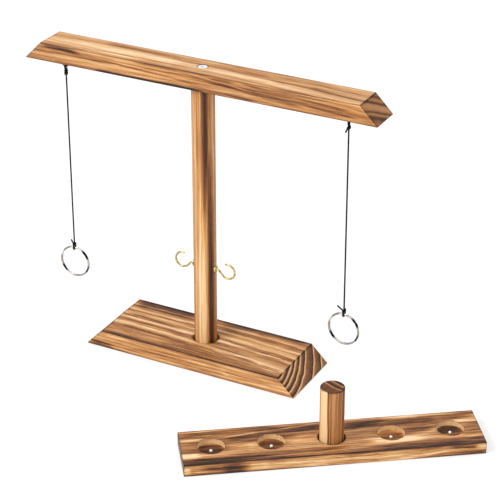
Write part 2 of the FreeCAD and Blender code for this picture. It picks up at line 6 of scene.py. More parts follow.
import bpy
import numpy as np
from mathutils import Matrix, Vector


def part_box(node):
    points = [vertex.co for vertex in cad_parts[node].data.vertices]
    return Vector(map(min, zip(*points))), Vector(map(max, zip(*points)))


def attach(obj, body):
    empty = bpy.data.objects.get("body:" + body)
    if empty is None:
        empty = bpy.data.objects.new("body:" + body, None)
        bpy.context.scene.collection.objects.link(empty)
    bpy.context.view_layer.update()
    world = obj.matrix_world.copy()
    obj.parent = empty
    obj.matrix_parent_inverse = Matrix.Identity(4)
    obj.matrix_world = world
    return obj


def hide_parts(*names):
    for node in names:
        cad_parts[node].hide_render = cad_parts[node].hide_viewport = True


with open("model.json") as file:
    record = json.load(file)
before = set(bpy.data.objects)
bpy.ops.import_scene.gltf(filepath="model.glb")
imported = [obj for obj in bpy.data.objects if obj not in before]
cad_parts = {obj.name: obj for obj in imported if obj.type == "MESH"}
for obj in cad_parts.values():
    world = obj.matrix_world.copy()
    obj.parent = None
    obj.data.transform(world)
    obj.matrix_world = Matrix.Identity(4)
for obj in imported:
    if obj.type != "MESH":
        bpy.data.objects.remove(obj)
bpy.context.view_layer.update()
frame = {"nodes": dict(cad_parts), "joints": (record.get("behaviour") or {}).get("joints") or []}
nodes = frame["nodes"]
joints = {joint["name"]: joint for joint in frame["joints"]}
# each side's direction along X
OUTWARD = {"left": -1, "right": 1}
MM = 0.001


def add_object(name, data):
    """New object in the scene."""
    made = bpy.data.objects.new(name, data)
    bpy.context.scene.collection.objects.link(made)
    return made


# ---- camera

LENS_MM = 133.17
SENSOR_MM = 36
CAMERA_ELEVATION = radians(27.14)
CAMERA_AZIMUTH = radians(-27.59)
CAMERA_DISTANCE = 1.7715
AIM_RIGHT = 0.0431
AIM_HEIGHT = 0.114


def make_camera():
    """Camera looking down on the stand from the front, beside its right end."""
    level = cos(CAMERA_ELEVATION)
    forward = Vector((
        sin(CAMERA_AZIMUTH) * level,
        cos(CAMERA_AZIMUTH) * level,
        -sin(CAMERA_ELEVATION),
    ))
    rightward = Vector((cos(CAMERA_AZIMUTH), -sin(CAMERA_AZIMUTH), 0))
    aim = rightward * AIM_RIGHT + Vector((0, 0, AIM_HEIGHT))
    data = bpy.data.cameras.new("camera")
    data.sensor_width = SENSOR_MM
    data.lens = LENS_MM
    data.clip_end = 20
    camera = add_object("camera", data)
    camera.location = aim - forward * CAMERA_DISTANCE
    camera.rotation_mode = "QUATERNION"
    camera.rotation_quaternion = forward.to_track_quat("-Z", "Y")
    bpy.context.scene.camera = camera


# ---- mesh tools

SMOOTH_ANGLE = radians(40)


def mesh_object(name, points, faces):
    """Smooth-shaded object in the scene."""
    mesh = bpy.data.meshes.new(name)
    mesh.from_pydata([tuple(point) for point in points], [], faces)
    mesh.polygons.foreach_set("use_smooth", [True] * len(mesh.polygons))
    mesh.set_sharp_from_angle(angle=SMOOTH_ANGLE)
    mesh.update()
    return add_object(name, mesh)


def tube_faces(rows, width, closed=False):
    """Faces between neighbouring rows of width points each, with an end face on an open tube."""
    faces = []
    for index in range(rows if closed else rows - 1):
        low = index * width
        high = ((index + 1) % rows) * width
        for step in range(width):
            after = (step + 1) % width
            faces.append((low + step, low + after, high + after, high + step))
    if not closed:
        faces.append(tuple(range(width - 1, -1, -1)))
        faces.append(tuple(range((rows - 1) * width, rows * width)))
    return faces


def sweep(name, path, offsets, closed=False, first_side=(0.3, 0.5, 0.81)):
    """Tube along path. offsets holds, for each path point, the section's points
    as (sideways, upwards) pairs in the frame carried along the path."""
    path = np.asarray(path, float)
    count = len(path)
    ahead = np.roll(path, -1, 0) - path
    behind = path - np.roll(path, 1, 0)
    if not closed:
        ahead[-1] = behind[-1]
        behind[0] = ahead[0]
    tangents = ahead / np.linalg.norm(ahead, axis=1)[:, None]
    tangents += behind / np.linalg.norm(behind, axis=1)[:, None]
    tangents /= np.linalg.norm(tangents, axis=1)[:, None]
    side = np.array(first_side, float)
    rings = []
    for index in range(count):
        side = side - tangents[index] * side.dot(tangents[index])
        side /= np.linalg.norm(side)
        up = np.cross(tangents[index], side)
        rings.append(path[index] + offsets[index][:, :1] * side + offsets[index][:, 1:] * up)
    return mesh_object(name, np.concatenate(rings), tube_faces(count, len(offsets[0]), closed))


def spaced(path, step, closed=False):
    """The same path with its points evenly spaced."""
    path = np.asarray(path, float)
    if closed:
        path = np.vstack([path, path[:1]])
    lengths = np.concatenate([[0], np.cumsum(np.linalg.norm(np.diff(path, axis=0), axis=1))])
    count = max(8, int(round(lengths[-1] / step)))
    marks = np.linspace(0, lengths[-1], count + 1)
    even = np.stack([np.interp(marks, lengths, path[:, axis]) for axis in range(3)], 1)
    return even[:-1] if closed else even


def arc(centre, radius, start, end, count):
    """Points on a flat arc."""
    return [(centre[0] + radius * cos(angle), centre[1] + radius * sin(angle))
            for angle in np.linspace(start, end, count)]


def lathe(name, profile, centre, axis, segments=72):
    """Surface of revolution; profile is a list of (radius, height along the axis)."""
    axis = Vector(axis).normalized()
    side = axis.orthogonal().normalized()
    other = axis.cross(side)
    points = []
    for radius, height in profile:
        for step in range(segments):
            angle = 2 * pi * step / segments
            around = side * cos(angle) + other * sin(angle)
            points.append(Vector(centre) + axis * height + around * radius)
    return mesh_object(name, points, tube_faces(len(profile), segments))


# ---- cords

CORD_RADIUS = 0.75 * MM
KNOT_CORD = 0.8 * MM
BRAID_STRANDS = 6
BRAID_PITCH = 4.2 * MM
BRAID_RELIEF = 0.1
CORD_STEP = 0.22 * MM
CORD_SEGMENTS = 36


def braided(name, path, closed=False, radius=CORD_RADIUS, shrink_ends=False):
    """Round braided cord: two sets of strands crossing over each other in relief."""
    path = spaced(path, CORD_STEP, closed)
    count = len(path)
    turns = max(1, round(count * CORD_STEP / BRAID_PITCH))
    angles = np.linspace(0, 2 * pi, CORD_SEGMENTS, endpoint=False)
    offsets = []
    for index in range(count):
        run = 2 * pi * turns * index / count
        one_way = np.cos(BRAID_STRANDS * angles / 2 + run * 1.5) ** 2
        other_way = np.cos(BRAID_STRANDS * angles / 2 - run * 1.5) ** 2
        size = radius * (1 + BRAID_RELIEF * (np.maximum(one_way, other_way) - 0.75))
        if shrink_ends:
            end = min(index, count - 1 - index) * CORD_STEP / radius
            size = size * sqrt(max(0.02, min(1, end * (2 - min(end, 1)))))
        offsets.append(np.stack([size * np.cos(angles), size * np.sin(angles)], 1))
    return sweep(name, path, offsets, closed)


SPLINE_STEPS = 24
WRAP_STEPS = 28


def spline_path(name, route):
    """Points along the NURBS spline that has the route as its control points."""
    curve = bpy.data.curves.new(name, "CURVE")
    curve.dimensions = "3D"
    curve.resolution_u = SPLINE_STEPS
    spline = curve.splines.new("NURBS")
    spline.points.add(len(route) - 1)
    for point, place in zip(spline.points, route):
        point.co = (*place, 1)
    spline.order_u = 3
    spline.use_endpoint_u = True
    holder = bpy.data.objects.new(name, curve)
    mesh = bpy.data.meshes.new_from_object(holder)
    path = [tuple(vertex.co) for vertex in mesh.vertices]
    bpy.data.objects.remove(holder)
    bpy.data.meshes.remove(mesh)
    return path


def wrap_path(turns, radius, low, high, lean, phase):
    """Helix that leans from side to side as a hitch does."""
    points = []
    for angle in np.linspace(0, 2 * pi * turns, int(WRAP_STEPS * turns)):
        share = angle / (2 * pi * turns)
        around = angle + phase
        points.append((
            radius * cos(around),
            radius * sin(around),
            low + (high - low) * share + lean * cos(around),
        ))
    return points


# Knots: the cord's centreline in millimetres about the knot's hinge, +X to the right and
# +Z up. First the wraps round the standing cord: turns, radius, low end, high end, lean and
# phase of a helix. Then the points of the loose end, where it shows.
KNOTS = {
    "left_upper": ((3, 1.2, -0.5, 5.0, 0.6, 0.4), ()),
    "right_upper": (
        (2, 1.2, -0.8, 2.0, 0.45, 2.6),
        ((-1.0, -0.4, -0.1), (-1.6, -0.3, -1.2), (-2.3, -0.1, -2.8), (-3.0, 0, -4.6))),
    "left_lower": (
        (2.4, 1.2, -1.6, 0.8, 0.35, 1.0),
        ((-0.8, -0.5, -0.4), (-1.6, -0.4, 1.0), (-2.6, -0.2, 2.6), (-3.6, 0, 4.2))),
    "right_lower": (
        (2.4, 1.25, -1.6, 1.3, 0.4, 0.2),
        ((-0.9, -0.5, 0.2), (-2.2, -0.4, 0.7), (-4.6, -0.1, 1.7), (-7.2, 0, 3.3))),
}


def moved(points, place, turn=0.0):
    """Millimetre points turned about the vertical and carried to a place in metres."""
    cosine = cos(turn)
    sine = sin(turn)
    return [(
        place[0] + (x * cosine - y * sine) * MM,
        place[1] + (x * sine + y * cosine) * MM,
        place[2] + z * MM,
    ) for x, y, z in points]


def make_knot(name, node, body, place, turn):
    """Wound knot over its CAD solid, with its loose end."""
    wrap, tail = KNOTS[name]
    path = moved(wrap_path(*wrap), place, turn)
    wraps = braided(node + "_wraps", path, radius=KNOT_CORD, shrink_ends=True)
    made = [wraps]
    if tail:
        made.append(braided(node + "_tail", spline_path("route", moved(tail, place, turn))))
    for piece in made:
        finish_piece(piece, body, cord_material)
    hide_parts(node)
    return made


def drop_path(radius, foot_radius, length):
    """Closed drop in the YZ plane: a large arc about the origin, a small one at length below."""
    lean = asin((radius - foot_radius) / length)
    outline = arc((0, 0), radius, -lean, pi + lean, 40)
    outline += arc((0, -length), foot_radius, pi + lean, 2 * pi - lean, 20)
    return [(0, y, z) for y, z in outline]


def make_loop(node, body, place, radius, length, turn=0.0, upward=False):
    """Cord loop round a wire at place, its foot in a knot below it, or above it if upward."""
    points = drop_path(radius, LOOP_FOOT, length)
    if upward:
        points = [(x, y, -z) for x, y, z in points]
    loop = braided(node + "_cord", moved(points, place, turn), closed=True)
    finish_piece(loop, body, cord_material)
    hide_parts(node)
    return loop


# loops and their feet, in millimetres
EYE_LOOP = 1.95
EYE_LOOP_INTO_KNOT = 0.8
RING_LOOP = 2.3
RING_LOOP_LENGTH = 2.8
LOOP_FOOT = 0.8
EYE_RADIUS = 4.0
EYE_DROP = EYE_RADIUS * MM
END_RUN = 7.0 * MM


def flip_turn(side):
    """Angle of a ring's flip axis about the vertical."""
    axis = joints[side + "_ring_flip"]["axis"]
    return atan2(axis[1], axis[0])


def make_line(side):
    """Cord with its loops and knots, from the screw eye to the ring."""
    eye = Vector(joints[side + "_swing"]["pos_m"])
    upper = Vector(joints[side + "_sway"]["pos_m"])
    lower = Vector(joints[side + "_twist"]["pos_m"])
    ring_wire = Vector(joints[side + "_ring_flip"]["pos_m"])
    turn = flip_turn(side)
    eye_wire = eye - Vector((0, 0, EYE_DROP))
    route = [
        tuple(upper),
        (upper.x, upper.y, upper.z - END_RUN),
        (lower.x, lower.y, lower.z + END_RUN),
        tuple(lower),
    ]
    path = spline_path("route", route)
    cord = braided(side + "_braided_cord", path)
    finish_piece(cord, side + "_line", cord_material)
    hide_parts(side + "_cord")
    with_it = make_knot(side + "_upper", side + "_upper_knot", side + "_hitch", upper, 0)
    with_it += make_knot(side + "_lower", side + "_lower_knot", side + "_tie", lower, turn)
    drop = (eye_wire.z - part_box(side + "_upper_knot")[1].z) / MM + EYE_LOOP_INTO_KNOT
    with_it.append(make_loop(side + "_eye_loop", side + "_hitch", eye_wire, EYE_LOOP, drop))
    with_it.append(make_loop(
        side + "_ring_loop", side + "_tie", ring_wire, RING_LOOP, RING_LOOP_LENGTH, turn, True))


# ---- rings

RING_OUTER = 16.5 * MM
RING_DEPTH = 1.7 * MM
RING_WIDTH = 1.05 * MM
RING_CORNER = 0.34 * MM
RING_STEPS = 150
RING_CROSSING = radians(26)
TURN_SPACING = RING_WIDTH * 1.02
WIRE_END_SIZES = (0.72, 0.9, 1)
# where each ring's wire starts, in degrees from +X up over the top
RING_START = {"left": 222, "right": 38}


def ring_section():
    """Rounded flat wire section as (outward, sideways) pairs."""
    points = []
    for corner_out, corner_side, start in ((1, 1, 0), (-1, 1, 90), (-1, -1, 180), (1, -1, 270)):
        for angle in (0, 30, 60, 90):
            turn = radians(start + angle)
            points.append((
                corner_out * (RING_DEPTH / 2 - RING_CORNER) + RING_CORNER * cos(turn),
                corner_side * (RING_WIDTH / 2 - RING_CORNER * 0.9) + RING_CORNER * 0.9 * sin(turn),
            ))
    return np.array(points)


def make_ring(side):
    """Split ring: one spring wire wound twice, stepping across where its ends lie."""
    node = side + "_ring"
    low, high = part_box(node)
    centre = (low + high) / 2
    turn = flip_turn(side)
    mid_radius = RING_OUTER - RING_DEPTH / 2
    start = radians(RING_START[side])
    path = []
    for step in range(2 * RING_STEPS + 1):
        angle = 4 * pi * step / (2 * RING_STEPS)
        crossing = (angle - 2 * pi) / RING_CROSSING
        ease = min(1, max(0, crossing + 0.5))
        ease = ease * ease * (3 - 2 * ease)
        shift = (ease - 0.5) * TURN_SPACING
        around = start + angle
        place = (mid_radius * cos(around), shift, mid_radius * sin(around))
        path.append(tuple(part / MM for part in place))
    section = ring_section()
    count = len(path)
    offsets = [section * WIRE_END_SIZES[min(index, count - 1 - index, 2)] for index in range(count)]
    outward = (cos(start) * cos(turn), cos(start) * sin(turn), sin(start))
    ring = sweep(node + "_coil", moved(path, centre, turn), offsets, first_side=outward)
    finish_piece(ring, side + "_ring", ring_steel(side, centre, turn))
    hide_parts(node)


# ---- hooks and eyes

HOOK_WIRE = 1.05 * MM
HOOK_STEP = 0.35
EYE_WIRE = 0.9 * MM
# the hook's centreline, in millimetres from the post's axis and its own shank
HOOK_START = 3.4
HOOK_SHANK_END = 11
HOOK_NECK = 14.1
HOOK_BEND = 1.8
HOOK_REACH = 24.7
HOOK_RISE = 0.4
HOOK_BOWL = 7.5
HOOK_TIP = {"left": 1.0, "right": 2.0}
HOOK_TIP_SLOPE = radians(10)
HOOK_TIP_SIZE = 0.72
HOOK_TAPER = 0.09
HOOK_ROUNDING = 0.8
# the collar's flat top as a share of its radius, its wall and dome as shares of its thickness
COLLAR_FLAT = 0.36
COLLAR_WALL = 0.34
COLLAR_DOME = 0.62


def hook_line(side):
    """Hook's centreline as (distance from the post's axis, height above the shank)."""
    spread = hypot(HOOK_REACH - HOOK_NECK, HOOK_RISE + HOOK_BEND)
    fall = asin((HOOK_BOWL + HOOK_BEND) / spread)
    fall -= atan2(HOOK_RISE + HOOK_BEND, HOOK_REACH - HOOK_NECK)
    quarter = pi / 2
    line = [(HOOK_START, 0), (HOOK_SHANK_END, 0)]
    line += arc((HOOK_NECK, -HOOK_BEND), HOOK_BEND, quarter, quarter - fall, 9)
    line += arc((HOOK_REACH, HOOK_RISE), HOOK_BOWL, -quarter - fall, quarter + HOOK_TIP_SLOPE, 60)
    last = line[-1]
    line.append((last[0] - HOOK_TIP[side] * cos(HOOK_TIP_SLOPE),
                 last[1] - HOOK_TIP[side] * sin(HOOK_TIP_SLOPE)))
    return line


WIRE_SEGMENTS = 28


def round_offsets(radii):
    """Round sections for sweep, one for each radius."""
    angles = np.linspace(0, 2 * pi, WIRE_SEGMENTS, endpoint=False)
    circle = np.stack([np.cos(angles), np.sin(angles)], 1)
    return [circle * radius for radius in radii]


def make_hook(side):
    """Cup hook: wire drawn to a rounded tip, and its domed collar against the post."""
    node = side + "_cup_hook"
    collar_low, collar_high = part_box(side + "_hook_collar")
    height = (collar_low.z + collar_high.z) / 2
    way = OUTWARD[side]
    path = [(way * x * MM, 0, height + z * MM) for x, z in hook_line(side)]
    path = spaced(path, HOOK_STEP * MM)
    radii = []
    for index in range(len(path)):
        to_tip = (len(path) - 1 - index) * HOOK_STEP
        taper = min(1, HOOK_TIP_SIZE + to_tip * HOOK_TAPER)
        end = min(1, to_tip / HOOK_ROUNDING)
        radii.append(HOOK_WIRE * taper * sqrt(max(0.03, end * (2 - end))))
    hook = sweep(node + "_wire", path, round_offsets(radii), first_side=(0, 1, 0))
    finish_piece(hook, "stand", brass_material)
    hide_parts(node)
    post_face = min(abs(collar_low.x), abs(collar_high.x))
    thickness = collar_high.x - collar_low.x
    radius = (collar_high.z - collar_low.z) / 2
    bore = HOOK_WIRE * 0.98
    profile = [
        (bore, 0), (radius * 0.93, 0), (radius, 0.06 * thickness),
        (radius, COLLAR_WALL * thickness)]
    for angle in range(10, 90, 16):
        turn = radians(angle)
        profile.append((
            radius * (COLLAR_FLAT + (1 - COLLAR_FLAT) * cos(turn)),
            thickness * (COLLAR_WALL + COLLAR_DOME * sin(turn))))
    profile.append((bore, thickness * 0.97))
    collar = lathe(side + "_domed_collar", profile, (way * post_face, 0, height), (way, 0, 0))
    finish_piece(collar, "stand", brass_material)
    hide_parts(side + "_hook_collar")


EYE_STEP = 0.3
EYE_BEND = 1.5
EYE_BEND_HEIGHT = 7.2
EYE_OPENING_AT = radians(108)
EYE_SWEEP = radians(318)


def make_eye(side):
    """Screw eye: stem turned over into a ring whose end all but meets the stem."""
    node = side + "_screw_eye"
    eye = Vector(joints[side + "_swing"]["pos_m"])
    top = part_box(node)[1].z
    line = [(0, (top - eye.z) / MM), (0, EYE_BEND_HEIGHT)]
    line += arc((-EYE_BEND, EYE_BEND_HEIGHT), EYE_BEND, 0, -radians(62), 8)
    line += arc((0, 0), EYE_RADIUS, EYE_OPENING_AT, EYE_OPENING_AT + EYE_SWEEP, 80)
    path = spaced([(eye.x + x * MM, eye.y, eye.z + z * MM) for x, z in line], EYE_STEP * MM)
    radii = [EYE_WIRE] * len(path)
    radii[-1] = EYE_WIRE * 0.75
    wire = sweep(node + "_wire", path, round_offsets(radii), first_side=(0, 1, 0))
    finish_piece(wire, "stand", steel_material)
    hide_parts(node)


# ---- shader tools

def srgb(red, green, blue):
    """Screen colour from 0 to 255 as linear light."""
    def linear(level):
        level /= 255
        return level / 12.92 if level <= 0.04045 else ((level + 0.055) / 1.055) ** 2.4
    return (linear(red), linear(green), linear(blue), 1)


class Graph:
    """The nodes of a material or a world, added and wired in one step each."""

    def __init__(self, name, owners=bpy.data.materials, seed=0):
        self.seed = seed
        self.owner = owners.new(name)
        self.owner.use_nodes = True
        self.tree = self.owner.node_tree
        self.tree.nodes.clear()

    def add(self, kind, inputs=(), **settings):
        """Node with its inputs linked or set, by name or in order."""
        node = self.tree.nodes.new("ShaderNode" + kind)
        for name, setting in settings.items():
            setattr(node, name, setting)
        for key, given in (inputs.items() if isinstance(inputs, dict) else enumerate(inputs)):
            self.give(node, key, given)
        return node

    def give(self, node, key, given):
        """Link or set one input."""
        if isinstance(given, bpy.types.NodeSocket):
            self.tree.links.new(given, node.inputs[key])
        else:
            node.inputs[key].default_value = given

    def math(self, operation, *values, clamp=False):
        return self.add("Math", values, operation=operation, use_clamp=clamp).outputs[0]

    def times(self, *values):
        return reduce(lambda first, second: self.math("MULTIPLY", first, second), values)

    def ratio(self, first, second):
        return self.math("DIVIDE", first, second)

    def absolute(self, value):
        return self.math("ABSOLUTE", value)

    def less(self, first, second):
        return self.math("SUBTRACT", first, second)

    def inverse(self, value):
        return self.math("SUBTRACT", 1.0, value)

    def line(self, value, slope, offset, clamp=False):
        """Value times slope, plus offset."""
        return self.math("MULTIPLY_ADD", value, slope, offset, clamp=clamp)

    def vector(self, operation, *values):
        node = self.add("VectorMath", values, operation=operation)
        return node.outputs["Value" if operation in ("LENGTH", "DOT_PRODUCT") else "Vector"]

    def place(self, centre=(0, 0, 0), turn=0.0):
        """Object coordinates in millimetres about centre, in axes turned about the vertical."""
        coordinates = self.add("TexCoord").outputs["Object"]
        return self.add("Mapping", {
            "Vector": coordinates, "Location": centre, "Rotation": (0, 0, turn),
            "Scale": (MM, MM, MM)}, vector_type="TEXTURE").outputs[0]

    def combine(self, *values):
        return self.add("CombineXYZ", values).outputs[0]

    def split(self, vector):
        return self.add("SeparateXYZ", [vector]).outputs

    def noise(self, vector, scale, detail, rough=0.5, shift=0.0, colour=False):
        """Noise with its own scale along each axis, or two along the grain and across it.

        The shift and the graph's seed move it to another place."""
        scaled = self.vector("MULTIPLY", vector, (*scale, scale[-1])[:3])
        shift += self.seed
        placed = self.vector("ADD", scaled, (shift, shift * 1.7, shift * 0.6))
        node = self.add("TexNoise", {
            "Vector": placed, "Scale": 1.0, "Detail": detail, "Roughness": rough})
        return node.outputs[1 if colour else 0]

    def ramp(self, factor, stops, smooth="EASE"):
        """Colour ramp; a stop's level is a grey or a colour."""
        node = self.add("ValToRGB", [factor])
        node.color_ramp.interpolation = smooth
        elements = node.color_ramp.elements
        while len(elements) < len(stops):
            elements.new(1)
        for element, (position, level) in zip(elements, stops):
            element.position = position
            element.color = level if isinstance(level, tuple) else (level, level, level, 1)
        return node.outputs[0]

    def hypot(self, first, second):
        """Length of the hypotenuse."""
        return self.math("SQRT", self.total(self.times(first, first), self.times(second, second)))

    def step(self, value, low, high):
        """0 below low, 1 above high, smooth between; the other way round if low > high."""
        node = self.add("MapRange", {"Value": value, "From Min": low, "From Max": high},
                        interpolation_type="SMOOTHSTEP")
        return node.outputs[0]

    def below(self, value, low, high):
        """1 below low, 0 above high, smooth between."""
        return self.inverse(self.step(value, low, high))

    def bump(self, height, strength, millimetres):
        """Surface direction with this relief in it."""
        return self.add("Bump", {
            "Strength": strength, "Distance": millimetres * MM, "Height": height}).outputs[0]

    def total(self, *values):
        return reduce(lambda first, second: self.math("ADD", first, second), values)

    def scaled(self, value, size=1):
        """Value moved from about a half to about zero, then scaled."""
        return self.times(self.less(value, 0.5), size)

    def mix(self, factor, first, second, blend="MIX"):
        node = self.add("Mix", data_type="RGBA", blend_type=blend)
        for key, given in ((0, factor), (6, first), (7, second)):
            self.give(node, key, given)
        return node.outputs[2]

    def surface(self, colour, **inputs):
        """The finished material, with these inputs on its shader."""
        shader = self.add("BsdfPrincipled", {"Base Color": colour})
        for name, given in inputs.items():
            self.give(shader, name.replace("_", " "), given)
        self.add("OutputMaterial", [shader.outputs[0]])
        return self.owner


# ---- wood

WOOD_COLOURS = (
    (0, (238, 210, 174)), (0.1, (225, 189, 148)), (0.2, (210, 167, 121)), (0.4, (188, 138, 90)),
    (0.55, (161, 111, 68)), (0.7, (128, 82, 49)), (0.85, (88, 54, 34)), (1, (40, 24, 17)))
WOOD_RAMP = [(level, srgb(*colour)) for level, colour in WOOD_COLOURS]
CHAR_START = 0.7
CHAR_SOFTENING = -0.2
CONTRAST = 1.16
LONG_BURN_LEVEL = 0.28
END_BURN_LEVEL = 0.2
# warm tint of oiled wood, multiplied into its colour
GOLD_TINT = (1.04, 0.93, 0.72, 1)


def growth(graph, place, spec):
    """Growth rings as shells round the tree's heart, about zero: positive is darker.

    The ring record lists darkness against distance from the heart, in millimetres."""
    waved = place
    for scale, size, shift in (((0.006, 0.02), spec.sway, 0), ((0.05, 0.08), spec.ripple, 3)):
        wave = graph.noise(place, scale, 2, shift=shift, colour=True)
        wave = graph.vector("SUBTRACT", wave, (0.5, 0.5, 0.5))
        waved = graph.vector("MULTIPLY_ADD", wave, (0, size, size), waved)
    flat = graph.vector("MULTIPLY", graph.vector("SUBTRACT", waved, (0, *spec.heart)), (0, 1, 1))
    radius = graph.vector("LENGTH", flat)
    along = graph.split(place)[0]
    slant = graph.line(along, spec.bend, spec.slant)
    radius = graph.line(along, slant, radius)
    record = spec.rings
    first, last = record[0][0], record[-1][0]
    share = graph.ratio(graph.less(radius, first), last - first)
    stops = [((mark - first) / (last - first), dark) for mark, dark in record]
    return graph.scaled(graph.ramp(share, stops, "LINEAR")), waved


def ring_record(lights, ground, width, first, last):
    """Ring record with a narrow light line at each mark, and a dark one just inside it."""
    record = [(first, ground)]
    for mark in lights:
        record += [
            (mark - width * 1.9, ground + 0.1), (mark - width, ground + 0.22),
            (mark, ground - 0.42), (mark + width * 1.3, ground - 0.05)]
    record.append((last, ground))
    return record


def streak(graph, place, mark, on_face, wobble):
    """Soft flame mark along a face, from (x, other) to (x, other), darker or lighter."""
    start, start_other, end, end_other, half_width, strength = mark
    along, other = place
    slope = (end_other - start_other) / (end - start)
    middle = graph.line(along, slope, start_other - start * slope)
    off = graph.absolute(graph.total(graph.less(other, middle), wobble))
    body = graph.step(off, half_width * 1.5, half_width * 0.3)
    fade = min(12.0, (end - start) * 0.3)
    ends = graph.times(
        graph.step(along, start - fade * 0.4, start + fade),
        graph.step(along, end + fade * 0.4, end - fade))
    return graph.times(body, ends, on_face, strength)


def box_edges(graph, place, size, bevelled):
    """Distances to a board's long edges, to its ends' outlines and into its ends."""
    along, across, up = graph.split(place)
    length, width, thickness = size
    to_side = graph.less(graph.absolute(across), width / 2)
    to_face = graph.less(graph.absolute(graph.less(up, thickness / 2)), thickness / 2)
    reach = graph.absolute(along)
    if bevelled:
        to_end = graph.times(graph.less(graph.total(reach, up), length / 2), sqrt(0.5))
    else:
        to_end = graph.less(reach, length / 2)
    long_edge = graph.hypot(to_side, to_face)
    end_edge = graph.math("MINIMUM", graph.hypot(to_end, to_face), graph.hypot(to_end, to_side))
    return long_edge, end_edge, to_end


def wood_surface(graph, place, darkness, rings, gold, fineness):
    """Colour, roughness and fine relief that every torched and oiled piece shares."""
    fibre = graph.noise(place, (0.03, 2.4), 4, 0.6, shift=40)
    thread = graph.noise(place, (0.028, 1.1), 3, 0.65, shift=45)
    streaks = graph.noise(place, (0.014, 0.5), 4, 0.6, shift=50)
    pores = graph.noise(place, (0.35, 5.5), 2, 0.7, shift=60)
    pores = graph.times(graph.step(pores, 0.64, 0.78), 0.12)
    grain = graph.total(
        graph.scaled(fibre, 0.4), graph.scaled(thread, 0.75), graph.scaled(streaks, 0.75), pores)
    level = graph.line(grain, fineness, darkness)
    level = graph.line(level, CONTRAST, 0.45 * (1 - CONTRAST))
    charred = graph.math("MAXIMUM", graph.less(level, CHAR_START), 0.0)
    level = graph.line(charred, CHAR_SOFTENING, level, clamp=True)
    colour = graph.ramp(level, WOOD_RAMP, "LINEAR")
    tint = graph.noise(place, (0.01, 0.09), 2, shift=70)
    golden = graph.line(graph.step(tint, 0.35, 0.7), 0.6, gold, clamp=True)
    colour = graph.mix(golden, colour, GOLD_TINT, "MULTIPLY")
    relief = graph.total(graph.scaled(fibre), graph.scaled(streaks, 0.7), graph.times(rings, -0.6))
    bump = graph.bump(relief, 0.35, 0.12)
    roughness = graph.line(fibre, 0.3, 0.36)
    return graph.surface(colour, Roughness=roughness, Specular_IOR_Level=0.3, Normal=bump)


def torched_board(name, centre, spec):
    """Board with growth rings, flame bands, patches and burnt edges."""
    graph = Graph(name, seed=spec.seed)
    place = graph.place(centre, spec.turn)
    width, thickness = spec.size[1:]
    along, across, up = graph.split(place)
    rings, waved = growth(graph, place, spec)
    rings = graph.times(rings, spec.ring_depth)
    long_edge, end_edge, to_end = box_edges(graph, place, spec.size, spec.bevelled)
    at_end = graph.step(to_end, -0.6, -0.2)
    on_top = graph.times(
        graph.step(up, thickness - 0.5, thickness - 0.25), graph.inverse(at_end))
    at_side = graph.step(graph.absolute(across), width / 2 - 1.2, width / 2 - 0.7)
    on_side = graph.times(graph.inverse(on_top), at_side, graph.inverse(at_end))
    drift = graph.noise(place, (0.007, 0.03), 2, shift=80)
    # flame bands: top from the back edge to the front one, sides from the top edge down
    top_reach = graph.total(across, graph.scaled(drift, spec.band_drift))
    side_reach = graph.total(up, graph.scaled(drift, spec.band_drift * 0.35))
    top_way = graph.ratio(graph.less(width / 2, top_reach), width)
    side_way = graph.ratio(graph.less(thickness, side_reach), thickness)
    top_bands = graph.times(graph.scaled(graph.ramp(top_way, spec.top_bands)), on_top)
    side_bands = graph.times(graph.scaled(graph.ramp(side_way, spec.side_bands)), on_side)
    scorch = graph.noise(place, (0.008, 0.05), 3, shift=90)
    level = graph.total(
        spec.level, top_bands, side_bands, graph.scaled(scorch, spec.scorch),
        graph.times(rings, graph.line(on_side, spec.side_rings - 1, 1.0)),
        graph.times(at_end, spec.end_level),
        graph.times(on_side, spec.side_level),
        graph.times(rings, at_end, spec.end_rings))
    wobble = graph.scaled(graph.noise(place, (0.02, 0.05), 3, 0.6, shift=80), 3.0)
    front = graph.times(on_side, graph.math("LESS_THAN", across, 0.0))
    flames = [streak(graph, (along, across), mark, on_top, wobble) for mark in spec.top_marks]
    flames += [streak(graph, (along, up), mark, front, wobble) for mark in spec.front_marks]
    marks = graph.total(*flames)
    broken = graph.noise(place, (0.018, 0.7), 4, 0.65, shift=35)
    level = graph.total(level, graph.times(marks, graph.line(broken, 2.4, -0.2)))
    ragged = graph.noise(place, (0.12, 0.4), 4, 0.6, shift=15)
    spread = graph.noise(place, (0.012, 0.03), 2, shift=25)
    long_reach = graph.times(spread, spec.long_burn)
    long_burn = graph.less(long_edge, graph.times(ragged, long_reach))
    long_burn = graph.below(long_burn, 0.1, 1.0)
    end_burn = graph.less(end_edge, graph.times(ragged, spec.end_burn))
    end_burn = graph.below(end_burn, 0.1, 1.0)
    end_burn = graph.times(end_burn, graph.line(at_end, 0.8, 0.2))
    level = graph.total(
        level, graph.times(long_burn, LONG_BURN_LEVEL), graph.times(end_burn, END_BURN_LEVEL))
    above = graph.step(up, 0.3, 1.0)
    for extra in spec.extras:
        shaded = extra(graph, place, level, ragged)
        level = graph.line(above, graph.less(shaded, level), level)
    outside = graph.math("MAXIMUM", graph.math("MAXIMUM", on_top, at_end), at_side)
    gold = graph.total(spec.gold, graph.times(on_side, spec.side_gold),
                       graph.times(graph.inverse(outside), 0.7),
                       graph.times(at_end, -0.4))
    fineness = graph.line(at_end, 0.35 - spec.fineness, spec.fineness)
    return wood_surface(graph, waved, level, rings, gold, fineness)


# in millimetres
SOCKET_RADIUS = 13.3
SEAT_RADIUS = 5.4
PITCH = 54.7
RECESS_RADIUS = 12.9
RECESS_FLOOR = 6.6
LADDER_TOP = 12


